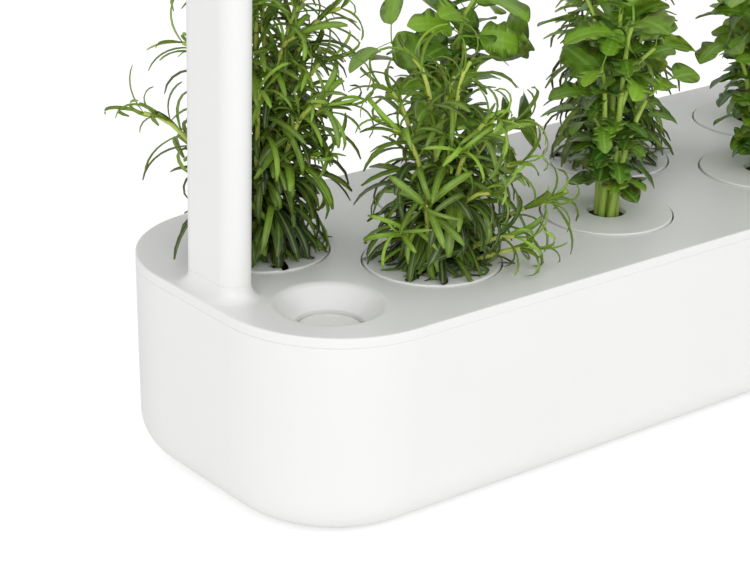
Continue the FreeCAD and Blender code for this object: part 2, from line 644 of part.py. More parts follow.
def make_lamp_cover():
    """The lamp's upper shell, with screw bosses, clamps for the arms and the button's hole."""
    cover = lamp_block(0, TRAY_TOP, LAMP_TOP)
    cover = round_edges(cover, LAMP_EDGE_RADIUS, lambda e: lies_at(LAMP_TOP, e))
    hollow = lamp_block(LAMP_WALL, TRAY_TOP, COVER_CEILING)
    hollow = round_edges(hollow, LAMP_EDGE_RADIUS - LAMP_WALL, lambda e: lies_at(COVER_CEILING, e))
    bosses = [disc(BOSS_RADIUS, TRAY_FLOOR, COVER_CEILING, x, y) for x, y in boss_places()]
    flange_top = TRAY_FLOOR + ARM_FLANGE
    bosses += [disc(CLAMP_POST_RADIUS, flange_top, COVER_CEILING, sx * ARM_X, sy * CLAMP_POST_Y)
               for sx in (-1, 1) for sy in (-1, 1)]
    holes = [disc(SCREW_SHANK_RADIUS, TRAY_FLOOR, LAMP_UNDERSIDE + SCREW_HEAD + SCREW_SHANK, x, y)
             for x, y in boss_places()]
    holes.append(disc(BUTTON_RADIUS + BUTTON_GAP, COVER_CEILING - 1, LAMP_TOP + 1, TIMER_X, 0))
    mouth = Part.makeCylinder(INLET_SNOUT_RADIUS + INLET_WALL_GAP, LAMP_WALL + 2,
                              Vector(TIMER_X, LAMP_WIDTH / 2 - LAMP_WALL - 1, INLET_Z), Vector(0, 1, 0))
    holes.append(mouth)
    cover = cover.cut(hollow).fuse(bosses).cut(holes)
    inside = lamp_block(0, TRAY_FLOOR, LAMP_TOP)
    return cover.common(inside).removeSplitter()


def make_diffuser():
    """The clear panel under the lights: a flange on the tray and a step that fills its window."""
    flange = block(DIFFUSER_LENGTH, DIFFUSER_WIDTH, DIFFUSER_CORNER, TRAY_FLOOR,
                   TRAY_FLOOR + DIFFUSER_THICKNESS)
    inset = DIFFUSER_LEDGE + DIFFUSER_GAP
    step = block(DIFFUSER_LENGTH - 2 * inset, DIFFUSER_WIDTH - 2 * inset, DIFFUSER_CORNER - inset,
                 LAMP_UNDERSIDE + DIFFUSER_RECESS, TRAY_FLOOR)
    return flange.fuse(step).removeSplitter()


def make_led_board():
    board = block(DIFFUSER_LENGTH + 2 * BOARD_MARGIN, DIFFUSER_WIDTH + 2 * BOARD_MARGIN, BOARD_CORNER,
                  BOARD_FOOT, BOARD_FOOT + BOARD_THICKNESS)
    return board.cut([disc(SCREW_SHANK_RADIUS, BOARD_FOOT - 1, BOARD_FOOT + BOARD_THICKNESS + 1, x, y)
                      for x, y in post_places()])


def make_leds():
    """Square light chips under the board, in two long rows."""
    chips = []
    for i in range(LED_COLUMNS):
        for j in range(LED_ROWS):
            x = (i - (LED_COLUMNS - 1) / 2) * LED_PITCH_X - LED_SIZE / 2
            y = (j - (LED_ROWS - 1) / 2) * LED_PITCH_Y - LED_SIZE / 2
            chips.append(Part.makeBox(LED_SIZE, LED_SIZE, LED_THICKNESS,
                                      Vector(x, y, BOARD_FOOT - LED_THICKNESS)))
    return Part.makeCompound(chips)


def make_timer_board():
    board = Part.makeBox(TIMER_LENGTH, TIMER_WIDTH, BOARD_THICKNESS,
                         Vector(TIMER_X - TIMER_LENGTH / 2, TIMER_Y - TIMER_WIDTH / 2, TIMER_FOOT))
    return board


def make_timer_switch():
    """The small press switch under the button."""
    return Part.makeBox(SWITCH_SIZE, SWITCH_SIZE, SWITCH_HEIGHT,
                        Vector(TIMER_X - SWITCH_SIZE / 2, -SWITCH_SIZE / 2, TIMER_TOP))


def make_timer_button():
    """A round button with a flange under the cover and a stem that stops above the switch."""
    flange_top = COVER_CEILING - BUTTON_GAP
    flange_foot = flange_top - BUTTON_FLANGE
    stem_foot = TIMER_TOP + SWITCH_HEIGHT + BUTTON_TRAVEL + SWITCH_CLEARANCE
    flange_radius = BUTTON_RADIUS + BUTTON_FLANGE_WIDTH
    top = LAMP_TOP + BUTTON_PROUD
    button = turned([
        (0, stem_foot), (BUTTON_STEM_RADIUS, stem_foot), (BUTTON_STEM_RADIUS, flange_foot),
        (flange_radius, flange_foot), (flange_radius, flange_top), (BUTTON_RADIUS, flange_top),
        (BUTTON_RADIUS, top), (0, top)])
    button = round_edges(button, BUTTON_ROUND, lambda e: lies_at(top, e))
    button.translate(move(TIMER_X, 0))
    return button


def make_inlet_pin():
    """The jack's centre pin, pressed into the floor of its bore."""
    root = LAMP_WIDTH / 2 - INLET_BORE_DEPTH - INLET_PIN_ROOT
    length = INLET_PIN_ROOT + INLET_BORE_DEPTH - INLET_PIN_SINK
    return Part.makeCylinder(INLET_PIN_RADIUS, length, Vector(TIMER_X, root, INLET_Z), Vector(0, 1, 0))


def make_power_inlet():
    """The low-voltage jack on the timer board, its snout through the cover's back wall."""
    back = Vector(0, 1, 0)
    wall_face = LAMP_WIDTH / 2 - LAMP_WALL - INLET_WALL_GAP
    front = wall_face - INLET_LENGTH
    body = Part.makeBox(INLET_WIDTH, INLET_LENGTH, INLET_HEIGHT,
                        Vector(TIMER_X - INLET_WIDTH / 2, front, TIMER_TOP))
    mouth = LAMP_WIDTH / 2
    snout = Part.makeCylinder(INLET_SNOUT_RADIUS, mouth - wall_face, Vector(TIMER_X, wall_face, INLET_Z), back)
    bore = Part.makeCylinder(INLET_BORE_RADIUS, INLET_BORE_DEPTH + 1,
                             Vector(TIMER_X, mouth - INLET_BORE_DEPTH, INLET_Z), back)
    return body.fuse(snout).cut([bore, make_inlet_pin()]).removeSplitter()


def make_screw():
    """A pan-head screw, its head's seat at the origin and its shank pointing down."""
    head = disc(SCREW_HEAD_RADIUS, 0, SCREW_HEAD)
    head = round_edges(head, SCREW_HEAD_ROUND, lambda e: lies_at(SCREW_HEAD, e))
    long, wide, foot = SCREW_CROSS_LENGTH, SCREW_CROSS_WIDTH, SCREW_HEAD - SCREW_CROSS_DEPTH
    cross = [Part.makeBox(long, wide, SCREW_HEAD, Vector(-long / 2, -wide / 2, foot)),
             Part.makeBox(wide, long, SCREW_HEAD, Vector(-wide / 2, -long / 2, foot))]
    shank = disc(SCREW_SHANK_RADIUS, -SCREW_SHANK, 0)
    return head.cut(cross).fuse(shank).removeSplitter()


def make_cover_screws():
    """The screws that go up through the tray into the cover's bosses."""
    screws = []
    for x, y in boss_places():
        screw = make_screw()
        screw.rotate(Vector(0, 0, 0), Vector(1, 0, 0), 180)
        screw.translate(move(x, y, LAMP_UNDERSIDE + SCREW_HEAD))
        screws.append(screw)
    return Part.makeCompound(screws)


def make_board_screws():
    """The screws that hold the light board on the tray's posts."""
    screws = []
    for x, y in post_places():
        screw = make_screw()
        screw.translate(move(x, y, BOARD_FOOT + BOARD_THICKNESS))
        screws.append(screw)
    return Part.makeCompound(screws)


def make_lamp_wires():
    """Two short wires that arch from the light board over to the timer board."""
    low, high = TIMER_TOP, BOARD_FOOT + BOARD_THICKNESS
    left = DIFFUSER_LENGTH / 2 + BOARD_MARGIN - WIRE_EDGE_SPACE
    right = TIMER_X - TIMER_LENGTH / 2 + WIRE_EDGE_SPACE
    top = high + WIRE_ARCH
    bend = (right - left) / 2
    wires = []
    for i in (-0.5, 0.5):
        y = TIMER_Y - TIMER_WIDTH / 4 + i * WIRE_PITCH
        path = Part.Wire([
            Part.makeLine(Vector(left, y, high), Vector(left, y, top)),
            Part.Arc(Vector(left, y, top), Vector(left + bend, y, top + bend), Vector(right, y, top)).toShape(),
            Part.makeLine(Vector(right, y, top), Vector(right, y, low))])
        section = Part.Wire(Part.makeCircle(WIRE_RADIUS, Vector(left, y, high), UP))
        wires.append(path.makePipeShell([section], True, False))
    return Part.makeCompound(wires)


# Plants. A shrub has upright stems with narrow bushes of leaves; a herb has stems with broad leaves.

def even_stems(kind, tallest, start):
    """Stems spread evenly round a crown, the middle ones the tallest: turn, reach and height."""
    count, girth = (SHRUB_STEMS, SHRUB_BUSH_RADIUS) if kind == "shrub" else (HERB_STEMS, HERB_LEAF_RADIUS)
    stems = []
    for i in range(count):
        reach = (PLANT_REACH - girth) * math.sqrt((i + 0.5) / count)
        height = tallest * (1 - STEM_STEP_DOWN * i / count)
        stems.append((start + i * GOLDEN_TURN, reach, height))
    return stems


def make_crown():
    return turned([(0, -SOIL_DEPTH), (CROWN_RADIUS, -SOIL_DEPTH), (CROWN_RADIUS, CAP_PROUD),
                   (CROWN_RADIUS * 0.6, CROWN_HEIGHT), (0, CROWN_HEIGHT)])


def shrub_stem(length):
    """A stem with a bush of leaves that widens over its lower third and narrows to its tip."""
    bush = SHRUB_BUSH_RADIUS
    return turned([(0, 0), (STEM_RADIUS, 0), (STEM_RADIUS, length * 0.14), (bush, length * 0.3),
                   (bush, length * 0.72), (STEM_RADIUS, length), (0, length)])


def herb_stem(length):
    """A bare stem with one broad leaf laid at a tilt across its tip."""
    leaf, half = HERB_LEAF_RADIUS, HERB_LEAF_THICKNESS / 2
    stem_length = length - leaf * math.sin(math.radians(HERB_LEAF_TILT_DEG))
    stem = disc(STEM_RADIUS, 0, stem_length)
    blade = turned([(0, -half), (leaf * 0.6, -half), (leaf, 0), (leaf * 0.6, half), (0, half)])
    blade.rotate(Vector(0, 0, 0), Vector(0, 1, 0), HERB_LEAF_TILT_DEG)
    blade.translate(Vector(0, 0, stem_length))
    return stem.fuse(blade)


def make_plant(kind, stems):
    """A plant's crown with a stem for every turn, reach and height, leaning out from the middle."""
    make_stem = shrub_stem if kind == "shrub" else herb_stem
    shapes = []
    for turn, reach, height in stems:
        shape = make_stem(math.hypot(reach, height))
        shape.rotate(Vector(0, 0, 0), Vector(0, 1, 0), math.degrees(math.atan2(reach, height)))
        shape.rotate(Vector(0, 0, 0), UP, turn)
        shapes.append(shape)
    return make_crown().fuse(shapes).removeSplitter()


def pod_stems(pod):
    """The stems of a pod's plant, its own where it leans and even ones elsewhere."""
    if pod in LEANING_STEMS:
        return [(turn, share * PLANT_REACH, height) for turn, share, height in LEANING_STEMS[pod]]
    return even_stems(*PLANTS[pod - 1])


def main():
    os.makedirs("parts", exist_ok=True)

    def save(name, shape):
        shape.exportStep("parts/%s.step" % name)
        solids = shape.Solids
        bad = [s for s in solids if not s.isValid() or s.Volume <= 0]
        print(name, len(solids), round(shape.Volume), "BAD" if bad or not solids else "")

    save("tank", make_tank())
    save("feet", make_feet())
    save("deck", make_deck())
    save("float_cap", make_float_cap())
    save("float_bulb", make_float_bulb())
    save("float_retainer", make_float_retainer())
    cap, cup, soil = make_cap(), make_cup(), make_soil()
    for i, (x, y) in enumerate(pod_places(), 1):
        plant = make_plant(PLANTS[i - 1][0], pod_stems(i))
        for name, shape in (("cap", cap), ("cup", cup), ("soil", soil), ("plant", plant)):
            placed = shape.copy()
            placed.translate(move(x, y, DECK_TOP))
            save("%s_%d" % (name, i), placed)
    for side, word in ((-1, "left"), (1, "right")):
        save("riser_" + word, make_riser(side))
        save("lamp_arm_" + word, make_lamp_arm(side))
    for name, make in (("lamp_tray", make_lamp_tray), ("lamp_cover", make_lamp_cover),
                       ("diffuser", make_diffuser), ("led_board", make_led_board), ("leds", make_leds),
                       ("timer_board", make_timer_board), ("timer_switch", make_timer_switch),
                       ("timer_button", make_timer_button), ("power_inlet", make_power_inlet),
                       ("inlet_pin", make_inlet_pin),
                       ("cover_screws", make_cover_screws), ("board_screws", make_board_screws),
                       ("lamp_wires", make_lamp_wires)):
        save(name, make())


if __name__ == "__main__":
    main()
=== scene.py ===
"""Countertop hydroponic garden: finishes, growing plants, floor, light and camera. Metres."""

import json
import math

import bpy
from mathutils import Matrix, Vector


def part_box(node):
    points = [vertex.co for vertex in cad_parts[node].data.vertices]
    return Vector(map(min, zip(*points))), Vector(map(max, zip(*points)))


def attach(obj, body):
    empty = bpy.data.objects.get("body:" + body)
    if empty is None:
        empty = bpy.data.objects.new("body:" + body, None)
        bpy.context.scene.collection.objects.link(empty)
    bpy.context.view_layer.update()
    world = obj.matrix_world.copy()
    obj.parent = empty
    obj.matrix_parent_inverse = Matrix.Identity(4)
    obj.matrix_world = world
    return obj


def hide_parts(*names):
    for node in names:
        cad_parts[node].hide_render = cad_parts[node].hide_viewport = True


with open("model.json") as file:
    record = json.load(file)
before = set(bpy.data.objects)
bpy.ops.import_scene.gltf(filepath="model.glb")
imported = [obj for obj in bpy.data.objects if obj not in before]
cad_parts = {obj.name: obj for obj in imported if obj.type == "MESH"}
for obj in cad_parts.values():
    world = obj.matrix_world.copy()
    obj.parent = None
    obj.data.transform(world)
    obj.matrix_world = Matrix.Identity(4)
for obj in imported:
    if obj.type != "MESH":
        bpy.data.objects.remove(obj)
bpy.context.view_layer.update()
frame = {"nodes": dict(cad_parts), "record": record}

# Camera, fitted to the picture
IMAGE_WIDTH = 750
FOCAL_PIXELS = 2368.8
SENSOR_WIDTH = 36.0
NEAR_CLIP = 0.01
CAMERA_PLACE = (-0.8838, -0.8608, 0.5443)
CAMERA_YAW = math.radians(38.93)
CAMERA_PITCH = math.radians(22.38)
CAMERA_ROLL = math.radians(-1.42)

# Light and floor
SKY = 0.68
FLOOR_HALF_SIZE = 6.0
FLOOR_GLOW = 0.35
FLOOR_BOUNCE = 0.08

# Pods, and how their stems stand
PODS = range(1, 10)
PLUG_SINK = 0.003
GOLDEN_TURN = math.radians(137.5)
START_TURN_STEP = 0.9
STEM_POINTS = 9
STEM_RISE = 0.9
STEM_REACH = 26.0
STEM_BOW = 1.3
STEM_STEP_DOWN = 0.38
FOOT_SPREAD = 0.006
STEM_SIDES = 7

# How much leaves differ. Angles are in radians, but for the tilt in degrees.
TURN_SCATTER = 0.45
ROLL_SCATTER = 0.35
TILT_SCATTER_DEG = 26.0
SIZE_SCATTER = (0.78, 1.18)
TONE_SCATTER = (-0.25, 0.45)
TONE_RISE = 0.6
TONE_CURVE = 1.5
TEMPLATE_PICKS = 20

# How leaves lie on a pod's cover instead of in it
LEAF_REST_GAP = 0.0006
SETTLING = 0.0012
SETTLING_BAND = 8 * SETTLING


def linear(r, g, b):
    """A screen colour in 0 to 255 as linear values."""
    def one(c):
        c = c / 255
        return c / 12.92 if c <= 0.04045 else ((c + 0.055) / 1.055) ** 2.4
    return (one(r), one(g), one(b), 1.0)


# Node building

class Nodes:
    """Adds nodes to a tree and links them by socket name or number."""

    def __init__(self, tree):
        self.tree = tree

    def add(self, kind, **settings):
        node = self.tree.nodes.new(kind)
        inputs = settings.pop("inputs", {})
        for name, value in settings.items():
            setattr(node, name, value)
        for name, value in inputs.items():
            self.feed(node, name, value)
        return node

    def feed(self, node, name, value):
        socket = node.inputs[name]
        if isinstance(value, bpy.types.NodeSocket):
            self.tree.links.new(value, socket)
        else:
            socket.default_value = value

    def math(self, operation, *values, **settings):
        """The result of a sum on values or sockets."""
        inputs = dict(enumerate(values))
        return self.add("ShaderNodeMath", operation=operation, inputs=inputs, **settings).outputs[0]

    def spread(self, value, low, high, start=0.0, end=1.0, **settings):
        """A value that runs from start to end, mapped to run from low to high."""
        inputs = {"Value": value, "From Min": start, "From Max": end, "To Min": low, "To Max": high}
        return self.add("ShaderNodeMapRange", inputs=inputs, **settings).outputs[0]

    def vector(self, **axes):
        return self.add("ShaderNodeCombineXYZ", inputs=axes).outputs[0]

    def own_place(self):
        """The surface's place in its own piece."""
        return self.add("ShaderNodeTexCoord").outputs["Object"]

    def mark(self, name):
        """A number stored on the mesh."""
        return self.add("ShaderNodeAttribute", attribute_name=name).outputs["Fac"]

    def noise(self, place, scale, detail, roughness=0.5):
        inputs = {"Vector": place, "Scale": scale, "Detail": detail, "Roughness": roughness}
        return self.add("ShaderNodeTexNoise", inputs=inputs).outputs["Fac"]

    def mix(self, share, first, second):
        """Two colours mixed."""
        inputs = {0: share, 6: first, 7: second}
        return self.add("ShaderNodeMix", data_type="RGBA", inputs=inputs).outputs[2]

    def bump(self, height, strength, distance):
        inputs = {"Height": height, "Strength": strength, "Distance": distance}
        return self.add("ShaderNodeBump", inputs=inputs).outputs["Normal"]


def new_material(name, **principled):
    material = bpy.data.materials.new(name)
    material.use_nodes = True
    nodes = Nodes(material.node_tree)
    shader = material.node_tree.nodes["Principled BSDF"]
    for socket, value in principled.items():
        nodes.feed(shader, socket.replace("_", " "), value)
    return material, nodes, shader


def new_group(name, inputs, outputs):
    group = bpy.data.node_groups.new(name, "ShaderNodeTree")
    for label, kind, value in inputs:
        socket = group.interface.new_socket(label, in_out="INPUT", socket_type=kind)
        socket.default_value = value
    for label, kind in outputs:
        group.interface.new_socket(label, in_out="OUTPUT", socket_type=kind)
    nodes = Nodes(group)
    return group, nodes, nodes.add("NodeGroupInput").outputs, nodes.add("NodeGroupOutput")


# Finishes

def moulding_group():
    """Moulded plastic: a soft mottle in the gloss, fine grain in the surface, and a drift in colour."""
    group, nodes, inp, out = new_group(
        "moulded_surface",
        [("Color", "NodeSocketColor", (0.8, 0.8, 0.8, 1)), ("Drift", "NodeSocketFloat", 0.02),
         ("Roughness", "NodeSocketFloat", 0.3), ("Mottle", "NodeSocketFloat", 0.05),
         ("Grain Scale", "NodeSocketFloat", 1800.0), ("Grain", "NodeSocketFloat", 0.1)],
        [("Color", "NodeSocketColor"), ("Roughness", "NodeSocketFloat"), ("Height", "NodeSocketFloat")])
    place = nodes.own_place()
    darkest = nodes.math("SUBTRACT", 1.0, inp["Drift"])
    value = nodes.spread(nodes.noise(place, 9.0, 3.0), darkest, 1.0, start=0.3, end=0.7)
    shade = nodes.add("ShaderNodeHueSaturation", inputs={"Color": inp["Color"], "Value": value})
    smooth = nodes.math("SUBTRACT", inp["Roughness"], inp["Mottle"])
    rough = nodes.math("ADD", inp["Roughness"], inp["Mottle"])
    grain = nodes.noise(place, inp["Grain Scale"], 2.0)
    nodes.feed(out, "Color", shade.outputs[0])
    gloss = nodes.spread(nodes.noise(place, 60.0, 4.0), smooth, rough, start=0.3, end=0.7)
    nodes.feed(out, "Roughness", gloss)
    nodes.feed(out, "Height", nodes.math("MULTIPLY", grain, inp["Grain"]))
    return group


MOULDED = moulding_group()


def moulded(name, color, roughness, grain=0.08, grain_scale=1800.0, mottle=0.04, drift=0.02, **principled):
    """A moulded plastic or rubber finish."""
    material, nodes, shader = new_material(name, **principled)
    surface = nodes.add("ShaderNodeGroup", node_tree=MOULDED,
                        inputs={"Color": color, "Drift": drift, "Roughness": roughness, "Mottle": mottle,
                                "Grain Scale": grain_scale, "Grain": grain})
    nodes.feed(shader, "Base Color", surface.outputs["Color"])
    nodes.feed(shader, "Roughness", surface.outputs["Roughness"])
    nodes.feed(shader, "Normal", nodes.bump(surface.outputs["Height"], 0.25, 0.0002))
    return material


def brushed(name, color):
    """Plated steel with fine turned marks."""
    material, nodes, shader = new_material(name, Base_Color=color, Metallic=1.0)
    marks = nodes.noise(nodes.own_place(), 2600.0, 3.0)
    nodes.feed(shader, "Roughness", nodes.spread(marks, 0.22, 0.5))
    nodes.feed(shader, "Normal", nodes.bump(marks, 0.15, 0.0001))
    return material


def frosted(name):
    """The diffuser: milky, with a prismatic texture underneath."""
    material, nodes, shader = new_material(name, Transmission_Weight=0.35, IOR=1.49)
    prisms = nodes.add("ShaderNodeTexVoronoi", inputs={"Vector": nodes.own_place(), "Scale": 420.0,
                                                       "Randomness": 0.0}).outputs["Distance"]
    nodes.feed(shader, "Base Color", nodes.mix(prisms, linear(232, 234, 236), linear(246, 246, 246)))
    nodes.feed(shader, "Roughness", nodes.spread(prisms, 0.3, 0.55))
    nodes.feed(shader, "Normal", nodes.bump(prisms, 0.4, 0.0004))
    return material


def growing_plug(name):
    """Dark, wet peat with crumbs and fibres."""
    material, nodes, shader = new_material(name, Roughness=0.85)
    place = nodes.own_place()
    crumbs = nodes.add("ShaderNodeTexVoronoi", inputs={"Vector": place, "Scale": 700.0}).outputs["Distance"]
    fibres = nodes.spread(nodes.noise(place, 300.0, 8.0, 0.7), 0.0, 1.0, start=0.35, end=0.72)
    nodes.feed(shader, "Base Color", nodes.mix(fibres, linear(28, 18, 13), linear(98, 66, 42)))
    nodes.feed(shader, "Normal", nodes.bump(crumbs, 0.9, 0.0015))
    return material


def leaf_material(name, dark, bright, rib, roughness, rib_width):
    """A leaf: darker or brighter by its own tone, a pale midrib, paler edges and fine veins."""
    material, nodes, shader = new_material(name, Subsurface_Weight=0.12, Subsurface_Scale=0.002)
    across = nodes.mark("across")
    mottle = nodes.noise(nodes.own_place(), 260.0, 5.0)
    tone = nodes.math("MULTIPLY_ADD", mottle, 0.5, nodes.mark("tone"))
    blade = nodes.mix(nodes.spread(tone, 0.0, 1.0, start=0.2, end=1.25), dark, bright)
    midrib = nodes.spread(across, 0.4, 0.0, end=rib_width, interpolation_type="SMOOTHSTEP")
    edge = nodes.spread(across, 0.0, 0.3, start=0.8)
    veins = nodes.math("SINE", nodes.math("MULTIPLY_ADD", nodes.mark("along"), 70.0, across))
    height = nodes.math("MULTIPLY_ADD", veins, 0.25, mottle)
    nodes.feed(shader, "Base Color", nodes.mix(edge, nodes.mix(midrib, blade, rib), rib))
    nodes.feed(shader, "Roughness", nodes.spread(mottle, roughness - 0.08, roughness + 0.12))
    nodes.feed(shader, "Normal", nodes.bump(height, 0.35, 0.0003))
    return material


def stem_material(name, old, young):
    """A stem: its old colour at the foot, its young colour at the tip, with lengthwise fibres."""
    material, nodes, shader = new_material(name, Roughness=0.5)
    stretched = nodes.add("ShaderNodeMapping",
                          inputs={"Vector": nodes.own_place(), "Scale": (1.0, 1.0, 0.15)})
    fibres = nodes.noise(stretched.outputs[0], 900.0, 4.0)
    age = nodes.math("MULTIPLY_ADD", fibres, 0.5, nodes.mark("along"), use_clamp=True)
    nodes.feed(shader, "Base Color", nodes.mix(age, old, young))
    nodes.feed(shader, "Normal", nodes.bump(fibres, 0.4, 0.0003))
    return material


SHELL_WHITE = linear(240, 240, 239)
FINISHES = {
    "shell": moulded("white_shell", SHELL_WHITE, 0.34, Specular_IOR_Level=0.45),
    "cap": moulded("white_cover", linear(238, 238, 236), 0.42, grain=0.12),
    "cup": moulded("white_cup", linear(226, 226, 222), 0.5, grain=0.15),
    "float": moulded("float_white", linear(244, 244, 242), 0.25),
    "foot": moulded("grey_rubber", linear(190, 190, 188), 0.8, grain=0.5, grain_scale=900.0),
    "soil": growing_plug("growing_plug"),
    "diffuser": frosted("frosted_panel"),
    "board": moulded("white_board", linear(232, 232, 226), 0.45, grain_scale=3000.0),
    "led": moulded("phosphor", linear(250, 226, 120), 0.3),
    "inlet": moulded("black_plastic", linear(24, 24, 25), 0.4, grain=0.2),
    "button": moulded("grey_button", linear(214, 214, 213), 0.45, grain=0.2),
    "screw": brushed("plated_steel", linear(176, 178, 182)),
    "wire": moulded("wire_sheath", linear(40, 40, 42), 0.5),
}
ROSEMARY_LEAF = leaf_material("rosemary_leaf", linear(26, 50, 20), linear(140, 184, 44),
                              linear(158, 186, 96), 0.38, 0.4)
ROSEMARY_STEM = stem_material("rosemary_stem", linear(128, 112, 62), linear(196, 208, 96))
HERB_LEAF = leaf_material("herb_leaf", linear(48, 96, 22), linear(136, 184, 44),
                          linear(168, 206, 92), 0.4, 0.18)
HERB_STEM = stem_material("herb_stem", linear(142, 170, 62), linear(176, 204, 88))


def dress_frame():
    """Gives every node of the frame the finish of its material slot. The plants' slot has none."""
    slots = {part["node"]: part["material_slot"] for part in frame["record"]["subparts"]}
    for name, node in frame["nodes"].items():
        finish = FINISHES.get(slots[name])
        if finish:
            node.data.materials.clear()
            node.data.materials.append(finish)


# Leaves. Each grows from the origin along +X with its upper side towards +Z.

# A leaf's upper side from edge to edge: the place across, the share of the fold there, and the
# distance from the midrib
LEAF_SECTION = ((-1, 1.0, 1.0), (-0.5, 0.3, 0.5), (0, 0.0, 0.0), (0.5, 0.3, 0.5), (1, 1.0, 1.0))
LEAF_RING = len(LEAF_SECTION) + 1
THINNEST_SHARE = 0.35


def leaf_mesh(name, length, half_width, outline, arch, fold, thickness, rings=9):
    """A closed thin leaf. outline(t) is its half width's share at t from base to tip, arch(t) its slope
    in degrees, and fold how far its edges stand above its midrib, as a share of the half width."""
    verts, along, across = [], [], []
    centre = Vector((0, 0, 0))
    step = length / (rings - 1)
    for i in range(rings):
        t = i / (rings - 1)
        slope = math.radians(arch(t))
        normal = Vector((-math.sin(slope), 0, math.cos(slope)))
        half = half_width * outline(t)
        thick = thickness * (THINNEST_SHARE + (1 - THINNEST_SHARE) * outline(t))
        for side, rise, distance in LEAF_SECTION:
            verts.append(centre + Vector((0, side * half, 0)) + normal * (rise * fold * half))
            across.append(distance)
        verts.append(centre - normal * thick)
        across.append(0.0)
        along += [t] * LEAF_RING
        centre = centre + Vector((math.cos(slope), 0, math.sin(slope))) * step
    mesh = bpy.data.meshes.new(name)
    mesh.from_pydata(verts, [], ring_faces(rings))
    for label, values in (("along", along), ("across", across)):
        attribute = mesh.attributes.new(label, "FLOAT", "POINT")
        attribute.data.foreach_set("value", values)
    mesh.shade_smooth()
    return mesh


def ring_faces(rings):
    """Faces that join a leaf's rings and close its two ends."""
    faces = []
    for i in range(rings - 1):
        for j in range(LEAF_RING):
            a = i * LEAF_RING + j
            b = i * LEAF_RING + (j + 1) % LEAF_RING
            faces.append((a, a + LEAF_RING, b + LEAF_RING, b))
    faces.append(tuple(range(LEAF_RING)))
    faces.append(tuple(reversed(range((rings - 1) * LEAF_RING, rings * LEAF_RING))))
    return faces


def needle(name, length, half_width, lift, droop, fold):
    """A long narrow leaf with parallel sides and a blunt tip, which rises and then hangs."""
    def outline(t):
        foot = min(1.0, 0.35 + 2.2 * t)
        past_middle = max(0.0, (t - 0.72) / 0.3)
        return foot * math.sqrt(max(0.0, 1 - past_middle ** 2)) + 0.03

    def arch(t):
        return lift - (lift + droop) * t ** 1.3
    return leaf_mesh(name, length, half_width, outline, arch, fold, 0.0006)


def lobed_blade(name, length, stalk, half_width, lobes, depth, droop):
    """A leaflet on a short stalk: broad, with rounded lobes round its far edge."""
    def outline(t):
        if t < stalk:
            return 0.06
        u = (t - stalk) / (1 - stalk)
        round_side = math.sin(math.pi * min(1.0, u ** 0.75)) ** 0.6
        wave = 1 - depth * (0.5 + 0.5 * math.cos(2 * math.pi * lobes * u))
        return 0.05 + 0.95 * round_side * wave

    def arch(t):
        return 12 - droop * t
    return leaf_mesh(name, length, half_width, outline, arch, 0.16, 0.0005, rings=21)


def leaf_collection(name, meshes):
    """A collection of leaf templates, which only the growth tree sees."""
    group = bpy.data.collections.new(name)
    for mesh in meshes:
        group.objects.link(bpy.data.objects.new(mesh.name, mesh))
    return group


def rosemary_leaves():
    return leaf_collection("rosemary_leaves", [
        needle("young_needle", 0.026, 0.0011, 20, 25, 0.25),
        needle("arched_needle", 0.038, 0.0013, 40, 100, 0.3),
        needle("long_needle", 0.046, 0.0015, 30, 115, 0.35),
        needle("hooked_needle", 0.038, 0.0014, 50, 150, 0.3),
        needle("broad_needle", 0.038, 0.0023, 8, 75, 0.2),
        needle("hanging_needle", 0.042, 0.0017, -10, 75, 0.25)])


def herb_leaves():
    return leaf_collection("herb_leaves", [
        lobed_blade("wide_leaflet", 0.026, 0.2, 0.0105, 2.0, 0.3, 50),
        lobed_blade("long_leaflet", 0.030, 0.25, 0.0085, 3.0, 0.28, 70),
        lobed_blade("spoon_leaflet", 0.024, 0.3, 0.0080, 1.0, 0.1, 35)])


# Growth: leaves in whorls along stems

GROWTH_LINKS = (("Stems", "NodeSocketGeometry"), ("Leaves", "NodeSocketCollection"),
                ("Stem Material", "NodeSocketMaterial"), ("Leaf Material", "NodeSocketMaterial"),
                ("Clear Of", "NodeSocketObject"), ("Pod Centre", "NodeSocketVector"))
GROWTH_SIZES = (("Stem Radius", 0.0012), ("Tip Radius", 0.0006), ("Leaf Spacing", 0.005),
                ("First Leaf", 0.1), ("Foot Lift", -10.0), ("Tip Lift", 60.0), ("Foot Size", 0.9),
                ("Tip Size", 0.5), ("Turn per Whorl", 75.0), ("Leaf Reach", 0.028),
                ("Clearance", 0.0075), ("Ground", 0.0), ("Hole Radius", 0.0095))
GROWTH_COUNTS = (("Leaves per Whorl", 2), ("Seed", 1))


